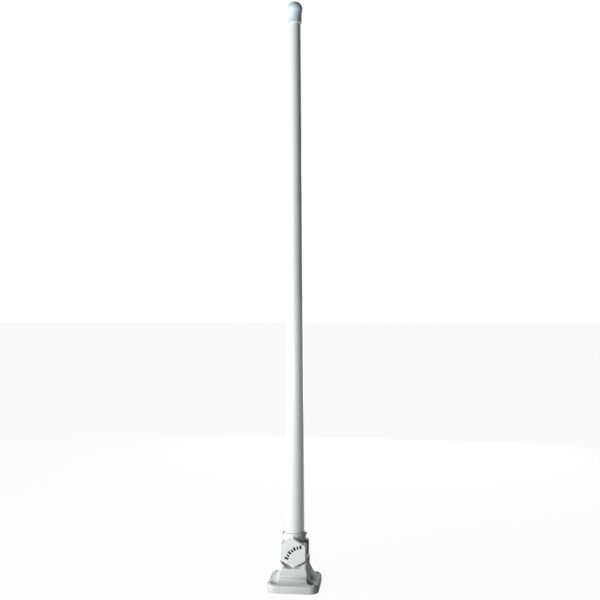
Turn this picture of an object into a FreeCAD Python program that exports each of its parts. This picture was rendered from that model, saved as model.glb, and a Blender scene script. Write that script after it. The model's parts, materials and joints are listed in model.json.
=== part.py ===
import FreeCAD, Part
import math
import os
import re
import Sketcher

# Whip antenna on a folding ratchet mount, in millimetres. +Z is up, the front is -Y and the right
# is +X. The origin is the centre of the base's underside. The mast folds down to the right about
# a bolt that runs front to back through the tongue of the base.

SIZES = {
    # overall
    "overall_height": 900,
    # base
    "base_width": 78,
    "base_depth": 80,
    "base_corner": 14,
    "rim_height": 12,
    "rim_round": 2,
    "skirt_inset": 3,
    "skirt_top": 33,
    "cove_radius": 30,
    "ridge_round": 5,
    "neck_lip": 1.4,
    "neck_depth": 45,
    "hole_inset_x": 11,
    "hole_inset_y": 12,
    "hole_bore": 5.5,
    "pocket_bore": 15,
    "pocket_floor": 8,
    "gasket_thick": 1.5,
    "gasket_inset": 4,
    "gasket_gap": 0.2,
    # tongue, ratchet and pivot
    "pivot_height": 56.5,
    "tongue_width": 24,
    "tongue_thick": 14,
    "ring_plate": 1.2,
    "tooth_height": 0.8,
    "tooth_width": 1.4,
    "tooth_root": 0.2,
    "ring_outer": 22,
    "ring_inner": 12.6,
    "ring_gap": 0.3,
    "bush_wall": 1.5,
    "bolt_dia": 8,
    "bolt_gap": 0.1,
    # swivel head
    "head_flats": 40,
    "head_depth": 42,
    "head_corner_round": 3,
    "head_edge_round": 0.75,
    "cradle_gap": 0.6,
    "stop_gap": 0.5,
    "cable_gap": 3.5,
    "cable_bore": 6,
    "bridge_thick": 4,
    "collar_wall": 1.6,
    "collar_height": 27.5,
    "spigot_length": 46,
    "spigot_wall": 2.8,
    "bolt_head_flats": 13,
    "bolt_head_thick": 5.3,
    "bolt_recess": 6,
    "cover_thick": 2.2,
    "cover_inset": 1.2,
    "cover_step": 0.7,
    "cover_undercut": 1.4,
    "cover_corner_round": 1.5,
    # clamp at the back
    "washer_dia": 20,
    "washer_thick": 1.5,
    "spring_dia": 17,
    "spring_thick": 0.8,
    "spring_rise": 0.9,
    "knob_core": 26,
    "knob_lobe": 10,
    "knob_reach": 12,
    "knob_thick": 13,
    "knob_round": 1.5,
    "insert_wall": 2,
    "insert_drop": 1.6,
    "knob_cap_dia": 16,
    "knob_cap_thick": 1.6,
    # mast
    "seal_thick": 1.5,
    "mast_foot_dia": 30.1,
    "mast_tip_dia": 17.7,
    "mast_wall": 2.8,
    "slip_gap": 0.15,
    "screw_dia": 3,
    "screw_head_dia": 5.8,
    "screw_head_thick": 2.3,
    "screw_drop": 2.8,
    "screw_insert_dia": 5,
    "cap_ball": 23.8,
    "cap_skirt_dia": 21,
    "cap_skirt": 22,
    "cap_cover": 4,
    # feed and radiators, heights above the top of the spigot
    "holder_thick": 8,
    "socket_dia": 9.5,
    "socket_drop": 16,
    "socket_wall": 1.3,
    "socket_flange_dia": 15.2,
    "socket_flange_thick": 2.6,
    "pin_setback": 2.6,
    "pin_dia": 1.3,
    "coax_dia": 5,
    "beads_rise": 190,
    "bead_dia": 10,
    "bead_length": 8,
    "bead_gap": 0.6,
    "sleeve_rise": 240,
    "sleeve_length": 100,
    "sleeve_dia": 11,
    "sleeve_wall": 0.7,
    "sleeve_end": 2.1,
    "insulator_thick": 8,
    "rod_dia": 3.2,
    "upper_rod": 150,
    "coil_length": 40,
    "coil_former_dia": 7,
    "coil_wire": 1.6,
    "coil_turns": 18,
    "rod_seat": 8,
    "rod_tip_gap": 3,
    "disc_thick": 8,
    "foam_gap": 0.1,
    "damper_length": 24,
}
TEETH = 24
LOBES = 6
BEADS = 5
DISCS = 2
TOUCH = 0.01  # places closer than this count as one
PAST = 1  # how far a cut runs past the face that it opens
LEAST_CUT = 0.1  # cubic millimetres that a cut has to take away

# Heights and half-widths that several pieces share, each worked out from the sizes above.
SOCKET_DIA = "(mast_foot_dia + slip_gap * 2)"
COLLAR_DIA = f"({SOCKET_DIA} + collar_wall * 2)"
NECK_WIDTH = "(head_flats + neck_lip * 2)"
SLOT_HALF = "(tongue_thick / 2 + ring_plate * 2 + tooth_height * 2 + ring_gap)"
SLOT_LEFT = "(-(tongue_width / 2 + stop_gap))"
SLOT_TOP = "(pivot_height + tongue_width / 2 + cable_gap)"
BRIDGE_TOP = f"({SLOT_TOP} + bridge_thick)"
COLLAR_TOP = "(pivot_height + collar_height)"
MAST_FOOT = f"({BRIDGE_TOP} + seal_thick)"
BALL_CENTRE = "(overall_height - cap_ball / 2)"
MAST_TOP = f"({BALL_CENTRE} - cap_cover)"
SPIGOT_TOP = f"({BRIDGE_TOP} + spigot_length)"
SCREW_HEIGHT = f"({COLLAR_TOP} - screw_drop)"
CRADLE_RADIUS = "(head_flats / sqrt(3) + cradle_gap)"
SADDLE_TOP = f"(pivot_height - {COLLAR_DIA} / 2 - stop_gap)"
HOLDER_TOP = f"({SPIGOT_TOP} + holder_thick)"
SLEEVE_TOP = f"({SPIGOT_TOP} + sleeve_rise + sleeve_length)"
COIL_FOOT = f"({SLEEVE_TOP} + insulator_thick + upper_rod)"
COIL_TOP = f"({COIL_FOOT} + coil_length)"
TOP_ROD_FOOT = f"({COIL_TOP} - rod_seat)"
TOP_ROD_END = f"({MAST_TOP} - damper_length - rod_tip_gap)"
HEAD_BACK = "(head_depth / 2)"
SPRING_SEAT = f"({HEAD_BACK} + washer_thick)"
KNOB_SEAT = f"({SPRING_SEAT} + spring_rise + spring_thick)"
KNOB_END = f"({KNOB_SEAT} + knob_thick)"

doc = FreeCAD.newDocument("whip_antenna")
sheet = doc.addObject("Spreadsheet::Sheet", "sizes")
for row, (alias, value) in enumerate(SIZES.items(), start=1):
    sheet.set(f"A{row}", alias.replace("_", " "))
    sheet.set(f"B{row}", str(value))
    sheet.setAlias(f"B{row}", alias)
doc.recompute()

parts = []


def formula(text):
    """Name the sheet before each alias, so that the text can be bound to a property."""
    return re.sub(r"[a-z]+(?:_[a-z]+)*", lambda word: f"sizes.{word[0]}" if word[0] in SIZES else word[0],
                  text)


def bind(item, links):
    """Bind each property of the object to its formula."""
    for prop, text in links.items():
        item.setExpression(prop, formula(text))
    return item


def finished(item, name):
    """Give the sub-part the name that its node and its file get."""
    item.Label = name
    parts.append(item)
    return item


def mast_dia(height):
    """Outside diameter of the tapered mast at a height."""
    return f"(mast_foot_dia - (mast_foot_dia - mast_tip_dia) * ({height} - {MAST_FOOT})" \
           f" / ({MAST_TOP} - {MAST_FOOT}))"


def mast_bore(height):
    """Inside diameter of the mast at a height."""
    return f"({mast_dia(height)} - mast_wall * 2)"


SPIGOT_DIA = f"({mast_bore(SPIGOT_TOP)} - slip_gap * 2)"
SPIGOT_BORE = f"({SPIGOT_DIA} - spigot_wall * 2)"


# ---- Part primitives ----

def solid(kind, links, along="Z"):
    """A Part primitive that stands along Z, X or Y."""
    item = doc.addObject(f"Part::{kind}", kind.lower())
    turns = {"Z": FreeCAD.Rotation(), "Y": FreeCAD.Rotation(FreeCAD.Vector(1, 0, 0), -90),
             "X": FreeCAD.Rotation(FreeCAD.Vector(0, 1, 0), 90)}
    item.Placement.Rotation = turns[along]
    return bind(item, links)


def bar(diameter, length, start, along="Z", height=None):
    """A round bar from its start along an axis; a bar along X or Y lies at a height."""
    links = {"Radius": f"{diameter} / 2", "Height": length, f"Placement.Base.{along.lower()}": start}
    if height:
        links["Placement.Base.z"] = height
    return solid("Cylinder", links, along)


def cut(base, *tools):
    """The base less each tool."""
    for tool in tools:
        item = doc.addObject("Part::Cut", "cut")
        item.Base = base
        item.Tool = tool
        base = item
    return base


def joined(*shapes):
    """One solid of several primitives that overlap or touch."""
    item = doc.addObject("Part::MultiFuse", "fuse")
    item.Shapes = list(shapes)
    item.Refine = True
    return item


def group(*shapes):
    """Separate solids that share one node."""
    item = doc.addObject("Part::Compound", "group")
    item.Links = list(shapes)
    return item


def tube(outer, inner, length, start, along="Z", height=None):
    """A plain sleeve."""
    return cut(bar(outer, length, start, along, height), bar(inner, length, start, along, height))


# ---- PartDesign bodies ----

def new_body(name):
    """An empty body whose label names the node."""
    return finished(doc.addObject("PartDesign::Body", "body"), name)


def sketch(body, plane, offset=None):
    """A sketch on one of the body's origin planes, moved along the plane's normal by an offset."""
    item = body.newObject("Sketcher::SketchObject", "sketch")
    item.AttachmentSupport = ([f for f in body.Origin.OriginFeatures if f.Role == plane][0], [""])
    item.MapMode = "FlatFace"
    if offset:
        bind(item, {"AttachmentOffset.Base.z": offset})
    return item


def place(drawing, geometry, point, where):
    """Tie one point of a sketch's geometry to the sketch's origin."""
    for kind, text in zip(("DistanceX", "DistanceY"), where):
        index = drawing.addConstraint(Sketcher.Constraint(kind, -1, 1, geometry, point, 1.0))
        bind(drawing, {f"Constraints[{index}]": text})


def add_outline(drawing, corners):
    """A closed outline of straight lines through the corners."""
    first = drawing.GeometryCount
    spread = [FreeCAD.Vector(i, i * i, 0) for i in range(len(corners))]
    for i, start in enumerate(spread):
        drawing.addGeometry(Part.LineSegment(start, spread[(i + 1) % len(spread)]), False)
    for i in range(len(corners)):
        follower = first + (i + 1) % len(corners)
        drawing.addConstraint(Sketcher.Constraint("Coincident", first + i, 2, follower, 1))
    for i, corner in enumerate(corners):
        place(drawing, first + i, 1, corner)
    return drawing


def add_circle(drawing, centre, diameter):
    """A circle about a centre."""
    index = drawing.addGeometry(Part.Circle(FreeCAD.Vector(1, 1, 0), FreeCAD.Vector(0, 0, 1), 1), False)
    place(drawing, index, 3, centre)
    size = drawing.addConstraint(Sketcher.Constraint("Diameter", index, 2.0))
    bind(drawing, {f"Constraints[{size}]": diameter})
    return drawing


def rectangle(half_x, half_y):
    """Corners of a rectangle about the sketch's origin."""
    return [(f"-({half_x})", f"-({half_y})"), (half_x, f"-({half_y})"), (half_x, half_y),
            (f"-({half_x})", half_y)]


def hexagon(flats, middle):
    """Corners of a hexagon that stands on a corner, its flats to the left and right."""
    side = f"({flats}) / sqrt(3)"
    half = f"({flats}) / 2"
    return [("0", f"{middle} - {side}"), (half, f"{middle} - {side} / 2"), (half, f"{middle} + {side} / 2"),
            ("0", f"{middle} + {side}"), (f"-{half}", f"{middle} + {side} / 2"),
            (f"-{half}", f"{middle} - {side} / 2")]


def volume(body):
    """Volume of the body so far, 0 before its first feature."""
    return 0 if body.Shape.isNull() else body.Shape.Volume


def raise_or_cut(body, kind, drawing, length, side="One side", reverse=False):
    """A Pad or a Pocket of the drawing. A cut that takes nothing away is an error."""
    before = volume(body)
    item = body.newObject(f"PartDesign::{kind}", kind.lower())
    item.Profile = drawing
    item.SideType = side
    item.Reversed = reverse
    bind(item, {"Length": length})
    doc.recompute()
    if kind == "Pocket" and volume(body) > before - LEAST_CUT:
        raise RuntimeError(f"{body.Label}: a pocket cuts nothing")
    return item


def pad(body, drawing, length, **options):
    return raise_or_cut(body, "Pad", drawing, length, **options)


def pocket(body, drawing, length, **options):
    return raise_or_cut(body, "Pocket", drawing, length, **options)


def spin(body, kind, drawing, axis):
    """A Revolution or a Groove of the drawing about one of the body's axes."""
    before = volume(body)
    item = body.newObject(f"PartDesign::{kind}", kind.lower())
    item.Profile = drawing
    item.ReferenceAxis = ([f for f in body.Origin.OriginFeatures if f.Role == axis][0], [""])
    item.Angle = 360
    doc.recompute()
    if kind == "Groove" and volume(body) > before - LEAST_CUT:
        raise RuntimeError(f"{body.Label}: a groove cuts nothing")


def repeat(body, feature, axis, count):
    """Repeat a feature all the way round an axis of the body."""
    item = body.newObject("PartDesign::PolarPattern", "pattern")
    item.Originals = [feature]
    item.Axis = ([f for f in body.Origin.OriginFeatures if f.Role == axis][0], [""])
    item.Angle = 360
    item.Occurrences = count
    body.Tip = item
    doc.recompute()


def round_edges(body, radius, chosen):
    """Fillet the edges of the body's tip that the test picks."""
    base = body.Tip
    names = [f"Edge{i}" for i, edge in enumerate(base.Shape.Edges, start=1) if chosen(edge)]
    item = body.newObject("PartDesign::Fillet", "fillet")
    item.Base = (base, names)
    bind(item, {"Radius": radius})
    doc.recompute()


def near(value, target):
    return abs(value - target) < TOUCH


def is_upright(edge):
    """True for a straight edge along Z."""
    box = edge.BoundBox
    return box.XLength < TOUCH and box.YLength < TOUCH


def turned(name, rings, along="Z"):
    """A piece turned on a lathe: its half section, as radius and place along the axis."""
    body = new_body(name)
    if along == "Z":
        spin(body, "Revolution", add_outline(sketch(body, "XZ_Plane"), rings), "Z_Axis")
    else:
        spin(body, "Revolution", add_outline(sketch(body, "XY_Plane"), rings), "Y_Axis")
        bind(body, {"Placement.Base.z": "pivot_height"})


# ---- Base ----

def cove_centre(half_neck, half_base):
    """Centre of the arc that sweeps from the neck down to the rim."""
    across = f"({half_base} - skirt_inset - {half_neck})"
    down = "(skirt_top - rim_height)"
    chord = f"sqrt({across} ^ 2 + {down} ^ 2)"
    away = f"sqrt(cove_radius ^ 2 - ({chord} / 2) ^ 2)"
    return (f"({half_neck} + {across} / 2 + {away} * {down} / {chord})",
            f"(rim_height + {down} / 2 + {away} * {across} / {chord})")


def corner_circles(drawing, diameter):
    """One circle at each mounting hole."""
    for left in ("-", ""):
        for front in ("-", ""):
            add_circle(drawing, (f"{left}(base_width / 2 - hole_inset_x)",
                                 f"{front}(base_depth / 2 - hole_inset_y)"), diameter)
    return drawing


def make_base_body():
    """Moulded base: a rimmed flange, a coved skirt, a neck with a cradle, and the tongue."""
    body = new_body("base_body")
    block = rectangle("(base_width / 2 - skirt_inset)", "(base_depth / 2 - skirt_inset)")
    pad(body, add_outline(sketch(body, "XY_Plane"), block), "skirt_top")
    for plane, half_neck, half_base in (("XZ_Plane", f"{NECK_WIDTH} / 2", "base_width / 2"),
                                        ("YZ_Plane", "neck_depth / 2", "base_depth / 2")):
        x, z = cove_centre(half_neck, half_base)
        coves = add_circle(sketch(body, plane), (x, z), "cove_radius * 2")
        add_circle(coves, (f"-{x}", z), "cove_radius * 2")
        pocket(body, coves, "base_width + base_depth", side="Symmetric")
    round_edges(body, "ridge_round", lambda e: e.BoundBox.ZLength > TOUCH)
    flange = rectangle("base_width / 2", "base_depth / 2")
    pad(body, add_outline(sketch(body, "XY_Plane"), flange), "rim_height")
    half_width = sheet.get("base_width") / 2
    half_depth = sheet.get("base_depth") / 2
    round_edges(body, "base_corner", lambda e: is_upright(e) and near(abs(e.BoundBox.XMin), half_width)
                and near(abs(e.BoundBox.YMin), half_depth))
    in_x = f"({NECK_WIDTH} / 2 - ridge_round)"
    in_y = "(neck_depth / 2 - ridge_round)"
    for neck in (rectangle(f"{NECK_WIDTH} / 2", in_y), rectangle(in_x, "neck_depth / 2")):
        pad(body, add_outline(sketch(body, "XY_Plane"), neck), "pivot_height")
    corners = sketch(body, "XY_Plane")
    for x, y in rectangle(in_x, in_y):
        add_circle(corners, (x, y), "ridge_round * 2")
    pad(body, corners, "pivot_height")
    cradle = add_circle(sketch(body, "XZ_Plane"), ("0", "pivot_height"), f"{CRADLE_RADIUS} * 2")
    pocket(body, cradle, "base_depth", side="Symmetric")
    saddle = [(f"-{NECK_WIDTH}", SADDLE_TOP), (NECK_WIDTH, SADDLE_TOP),
              (NECK_WIDTH, f"pivot_height + {PAST}"), (f"-{NECK_WIDTH}", f"pivot_height + {PAST}")]
    pocket(body, add_outline(sketch(body, "XZ_Plane"), saddle), f"{COLLAR_DIA} + stop_gap * 2",
           side="Symmetric")
    stem = [("-tongue_width / 2", "rim_height"), ("tongue_width / 2", "rim_height"),
            ("tongue_width / 2", "pivot_height"), ("-tongue_width / 2", "pivot_height")]
    pad(body, add_outline(sketch(body, "XZ_Plane"), stem), "tongue_thick", side="Symmetric")
    disc = add_circle(sketch(body, "XZ_Plane"), ("0", "pivot_height"), "tongue_width")
    pad(body, disc, "tongue_thick", side="Symmetric")
    bush_hole = add_circle(sketch(body, "XZ_Plane"), ("0", "pivot_height"),
                           "bolt_dia + bolt_gap * 2 + bush_wall * 2")
    pocket(body, bush_hole, "tongue_thick", side="Symmetric")
    wells = corner_circles(sketch(body, "XY_Plane", "pocket_floor"), "pocket_bore")
    pocket(body, wells, "skirt_top", reverse=True)
    holes = corner_circles(sketch(body, "XY_Plane"), "hole_bore")
    pocket(body, holes, "pocket_floor", reverse=True)
    recess = rectangle("base_width / 2 - gasket_inset + gasket_gap",
                       "base_depth / 2 - gasket_inset + gasket_gap")
    pocket(body, add_outline(sketch(body, "XY_Plane"), recess), "gasket_thick", reverse=True)
    rim = sheet.get("rim_height")
    round_edges(body, "rim_round", lambda e: near(e.BoundBox.ZMin, rim) and near(e.BoundBox.ZMax, rim)
                and (near(max(abs(e.BoundBox.XMin), abs(e.BoundBox.XMax)), half_width)
                     or near(max(abs(e.BoundBox.YMin), abs(e.BoundBox.YMax)), half_depth)))


def make_gasket():
    """Rubber sheet let into the underside of the base."""
    body = new_body("base_gasket")
    sheet_outline = rectangle("base_width / 2 - gasket_inset", "base_depth / 2 - gasket_inset")
    drawing = add_outline(sketch(body, "XY_Plane"), sheet_outline)
    corner_circles(drawing, "hole_bore + gasket_gap * 2")
    pad(body, drawing, "gasket_thick")


# ---- Ratchet and pivot ----

def make_ring(name, place_y, faces_front):
    """Toothed steel ring: a flat plate with radial teeth."""
    body = new_body(name)
    plate = add_circle(sketch(body, "XZ_Plane"), ("0", "0"), "ring_outer")
    add_circle(plate, ("0", "0"), "ring_inner")
    pad(body, plate, "ring_plate", reverse=True)
    root = "ring_plate - tooth_root"
    tooth = [(root, "-tooth_width / 2"), ("ring_plate + tooth_height", "0"), (root, "tooth_width / 2")]
    drawing = add_outline(sketch(body, "YZ_Plane", "ring_inner / 2 + ring_gap"), tooth)
    ridge = pad(body, drawing, "(ring_outer - ring_inner) / 2 - ring_gap * 2")
    repeat(body, ridge, "Y_Axis", TEETH)
    if faces_front:
        body.Placement.Rotation = FreeCAD.Rotation(FreeCAD.Vector(0, 0, 1), 180)
    bind(body, {"Placement.Base.y": place_y, "Placement.Base.z": "pivot_height"})


def make_ratchet():
    """Two toothed rings on the tongue and two on the cheeks of the head."""
    make_ring("tongue_ring_front", "-tongue_thick / 2", True)
    make_ring("tongue_ring_rear", "tongue_thick / 2", False)
    make_ring("head_ring_front", f"-{SLOT_HALF}", False)
    make_ring("head_ring_rear", SLOT_HALF, True)


def make_pivot():
    """Bush in the tongue, and the long bolt that the head turns with."""
    bore = "(bolt_dia + bolt_gap * 2)"
    bush = tube(f"({bore} + bush_wall * 2)", bore, "tongue_thick", "-tongue_thick / 2", "Y",
                "pivot_height")
    finished(bush, "pivot_bush")
    head_back = "(-head_depth / 2 + bolt_recess)"
    head = solid("Prism", {"Circumradius": "bolt_head_flats / sqrt(3)", "Height": "bolt_head_thick",
                           "Placement.Base.y": f"{head_back} - bolt_head_thick",
                           "Placement.Base.z": "pivot_height"}, "Y")
    shank = bar("bolt_dia", f"{KNOB_END} - {head_back} - knob_cap_thick - insert_drop", head_back, "Y",
                "pivot_height")
    finished(joined(head, shank), "pivot_bolt")


# ---- Swivel head ----

def make_swivel_head():
    """Hexagonal fork that holds the mast: two cheeks, a web at the left, a bridge and a collar."""
    body = new_body("swivel_head")
    pad(body, add_outline(sketch(body, "XZ_Plane"), hexagon("head_flats", "pivot_height")), "head_depth",
        side="Symmetric")
    half = sheet.get("head_depth") / 2
    round_edges(body, "head_corner_round", lambda e: near(e.BoundBox.YLength, half * 2)
                and e.BoundBox.XLength < TOUCH)
    collar = [("0", SLOT_TOP), (f"{COLLAR_DIA} / 2", SLOT_TOP), (f"{COLLAR_DIA} / 2", COLLAR_TOP),
              (f"{SOCKET_DIA} / 2", COLLAR_TOP), (f"{SOCKET_DIA} / 2", BRIDGE_TOP),
              (f"{SPIGOT_DIA} / 2", BRIDGE_TOP), (f"{SPIGOT_DIA} / 2", SPIGOT_TOP), ("0", SPIGOT_TOP)]
    spin(body, "Revolution", add_outline(sketch(body, "XZ_Plane"), collar), "Z_Axis")
    socket = [(f"{SPIGOT_DIA} / 2", BRIDGE_TOP), (f"{SOCKET_DIA} / 2", BRIDGE_TOP),
              (f"{SOCKET_DIA} / 2", COLLAR_TOP), (f"{SPIGOT_DIA} / 2", COLLAR_TOP)]
    spin(body, "Groove", add_outline(sketch(body, "XZ_Plane"), socket), "Z_Axis")
    bore = [("0", SLOT_TOP), ("cable_bore / 2", SLOT_TOP), ("cable_bore / 2", BRIDGE_TOP),
            (f"{SPIGOT_BORE} / 2", BRIDGE_TOP), (f"{SPIGOT_BORE} / 2", f"{SPIGOT_TOP} + {PAST}"),
            ("0", f"{SPIGOT_TOP} + {PAST}")]
    spin(body, "Groove", add_outline(sketch(body, "XZ_Plane"), bore), "Z_Axis")
    slot = [(SLOT_LEFT, "pivot_height - head_flats"), ("head_flats", "pivot_height - head_flats"),
            ("head_flats", SLOT_TOP), (SLOT_LEFT, SLOT_TOP)]
    pocket(body, add_outline(sketch(body, "XZ_Plane"), slot), f"{SLOT_HALF} * 2", side="Symmetric")
    bolt_hole = add_circle(sketch(body, "XZ_Plane"), ("0", "pivot_height"), "bolt_dia + bolt_gap * 2")
    pocket(body, bolt_hole, "head_depth", side="Symmetric")
    head_seat = hexagon("bolt_head_flats + slip_gap * 2", "0")
    recess = sketch(body, "XZ_Plane", HEAD_BACK)
    turned_seat = [(z, x) for x, z in head_seat]
    add_outline(recess, [(x, f"pivot_height + {z}") for x, z in turned_seat])
    pocket(body, recess, "bolt_recess")
    screws = add_circle(sketch(body, "YZ_Plane"), ("0", SCREW_HEIGHT), "screw_dia + slip_gap * 2")
    pocket(body, screws, f"{COLLAR_DIA} + {PAST} * 2", side="Symmetric")
    inserts = add_circle(sketch(body, "YZ_Plane"), ("0", SCREW_HEIGHT), "screw_insert_dia")
    pocket(body, inserts, f"{SPIGOT_DIA}", side="Symmetric")
    pivot = sheet.get("pivot_height")
    round_edges(body, "head_edge_round", lambda e: near(e.BoundBox.YMin, -half)
                and near(e.BoundBox.YMax, -half)
                and math.hypot(e.CenterOfMass.x, e.CenterOfMass.z - pivot) > sheet.get("bolt_head_flats"))


def make_front_cover():
    """Hexagonal cover over the bolt head. A step behind its edge leaves a narrow shadow gap."""
    body = new_body("front_cover")
    back = sketch(body, "XZ_Plane", HEAD_BACK)
    add_outline(back, hexagon("head_flats - (cover_inset + cover_undercut) * 2", "pivot_height"))
    pad(body, back, "cover_step")
    plate = sketch(body, "XZ_Plane", f"{HEAD_BACK} + cover_step")
    add_outline(plate, hexagon("head_flats - cover_inset * 2", "pivot_height"))
    pad(body, plate, "cover_thick - cover_step")
    front = -(sheet.get("head_depth") / 2 + sheet.get("cover_thick"))
    thick = sheet.get("cover_thick") - sheet.get("cover_step")
    round_edges(body, "cover_corner_round", lambda e: near(e.BoundBox.YLength, thick)
                and e.BoundBox.XLength < TOUCH and near(e.BoundBox.YMin, front))
    round_edges(body, "cover_step", lambda e: near(e.BoundBox.YMin, front)
                and near(e.BoundBox.YMax, front))


def make_clamp():
    """Washer, disc spring and lobed knob on the back end of the bolt."""
    bore = "bolt_dia + bolt_gap * 2"
    finished(tube("washer_dia", f"({bore})", "washer_thick", HEAD_BACK, "Y", "pivot_height"),
             "clamp_washer")
    turned("clamp_spring", [(f"({bore}) / 2", f"{SPRING_SEAT} + spring_rise"),
                            ("spring_dia / 2", SPRING_SEAT),
                            ("spring_dia / 2", f"{SPRING_SEAT} + spring_thick"),
                            (f"({bore}) / 2", f"{SPRING_SEAT} + spring_rise + spring_thick")], "Y")
    insert = f"({bore} + insert_wall * 2)"
    finished(tube(insert, f"({bore})", "knob_thick - knob_cap_thick - insert_drop", KNOB_SEAT, "Y",
                  "pivot_height"), "knob_insert")
    body = new_body("clamp_knob")
    core = add_circle(sketch(body, "XZ_Plane"), ("0", "0"), "knob_core")
    pad(body, core, "knob_thick", reverse=True)
    lobe = pad(body, add_circle(sketch(body, "XZ_Plane"), ("knob_reach", "0"), "knob_lobe"),
               "knob_thick", reverse=True)
    repeat(body, lobe, "Y_Axis", LOBES)
    ends = (0, sheet.get("knob_thick"))
    round_edges(body, "knob_round", lambda e: e.BoundBox.YLength < TOUCH
                and any(near(e.BoundBox.YMin, end) for end in ends))
    pocket(body, add_circle(sketch(body, "XZ_Plane"), ("0", "0"), insert), "knob_thick")
    seat = add_circle(sketch(body, "XZ_Plane", "-(knob_thick - knob_cap_thick)"), ("0", "0"),
                      "knob_cap_dia")
    pocket(body, seat, "knob_cap_thick")
    bind(body, {"Placement.Base.y": KNOB_SEAT, "Placement.Base.z": "pivot_height"})
    finished(bar("(knob_cap_dia - slip_gap * 2)", "knob_cap_thick", f"{KNOB_END} - knob_cap_thick", "Y",
                 "pivot_height"), "knob_cap")


# ---- Mast ----

def make_collar_screws():
    """Two pan-head screws through the collar and the mast, and the inserts that they grip."""
    screws = []
    inserts = []
    for side in (1, -1):
        head = bar("screw_head_dia", "screw_head_thick", f"{COLLAR_DIA} / 2", "X", SCREW_HEIGHT)
        shank_end = f"({SPIGOT_BORE} / 2 - slip_gap)"
        shank = bar("screw_dia", f"{COLLAR_DIA} / 2 - {shank_end}", shank_end, "X", SCREW_HEIGHT)
        wall = f"(({SPIGOT_DIA} - {SPIGOT_BORE}) / 2)"
        collet = tube("screw_insert_dia", "(screw_dia + slip_gap * 2)", wall, f"{SPIGOT_BORE} / 2", "X",
                      SCREW_HEIGHT)
        screw = joined(head, shank)
        for item in (screw, collet):
            if side < 0:
                item.Placement.Rotation = FreeCAD.Rotation(FreeCAD.Vector(0, 0, 1), 180)
        screws.append(screw)
        inserts.append(collet)
    finished(group(*screws), "collar_screws")
    finished(group(*inserts), "screw_inserts")


def make_mast():
    """Foot seal, tapered glass-fibre tube and tip cap."""
    finished(tube(f"({SOCKET_DIA} - slip_gap * 2)", f"({SPIGOT_DIA} + slip_gap * 2)", "seal_thick",
                  BRIDGE_TOP), "foot_seal")
    length = f"{MAST_TOP} - {MAST_FOOT}"
    outside = solid("Cone", {"Radius1": "mast_foot_dia / 2", "Radius2": "mast_tip_dia / 2",
                             "Height": length, "Placement.Base.z": MAST_FOOT})
    inside = solid("Cone", {"Radius1": "mast_foot_dia / 2 - mast_wall",
                            "Radius2": "mast_tip_dia / 2 - mast_wall",
                            "Height": length, "Placement.Base.z": MAST_FOOT})
    hole = bar("(screw_dia + slip_gap * 2)", f"mast_foot_dia + {PAST} * 2",
               f"-(mast_foot_dia / 2 + {PAST})", "X", SCREW_HEIGHT)
    finished(cut(outside, inside, hole), "mast_tube")
    ball = solid("Sphere", {"Radius": "cap_ball / 2", "Placement.Base.z": BALL_CENTRE})
    skirt = bar("cap_skirt_dia", "cap_skirt", f"{BALL_CENTRE} - cap_skirt")
    skirt_foot = f"({BALL_CENTRE} - cap_skirt)"
    room = solid("Cone", {"Radius1": f"{mast_dia(skirt_foot)} / 2 + slip_gap",
                          "Radius2": "mast_tip_dia / 2 + slip_gap",
                          "Height": "cap_skirt - cap_cover", "Placement.Base.z": skirt_foot})
    finished(cut(joined(ball, skirt), room), "tip_cap")


def make_feed():
    """Socket in the foot of the mast, the feeder above it and the ferrite beads on it."""
    holder_bore = "(socket_dia + slip_gap * 2)"
    finished(tube(f"({mast_bore(HOLDER_TOP)} - slip_gap)", holder_bore, "holder_thick", SPIGOT_TOP),
             "socket_holder")
    inner = "(socket_dia / 2 - socket_wall)"
    flange_top = f"{HOLDER_TOP} + socket_flange_thick"
    turned("coax_socket", [(inner, f"{SPIGOT_TOP} - socket_drop"),
                           ("socket_dia / 2", f"{SPIGOT_TOP} - socket_drop"),
                           ("socket_dia / 2", HOLDER_TOP), ("socket_flange_dia / 2", HOLDER_TOP),
                           ("socket_flange_dia / 2", flange_top), (inner, flange_top)])
    finished(tube(f"({inner} * 2)", "pin_dia", f"{flange_top} - {SPIGOT_TOP}", SPIGOT_TOP),
             "socket_insulator")
    pin_foot = f"({SPIGOT_TOP} - socket_drop + pin_setback)"
    finished(bar("pin_dia", f"{flange_top} - {pin_foot}", pin_foot), "socket_pin")
    finished(bar("coax_dia", f"{SLEEVE_TOP} - ({flange_top})", flange_top), "feed_coax")
    step = "(bead_length + bead_gap)"
    beads = [tube("bead_dia", "(coax_dia + slip_gap)", "bead_length",
                  f"{SPIGOT_TOP} + beads_rise + {step} * {n}") for n in range(BEADS)]
    finished(group(*beads), "ferrite_beads")


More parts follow.
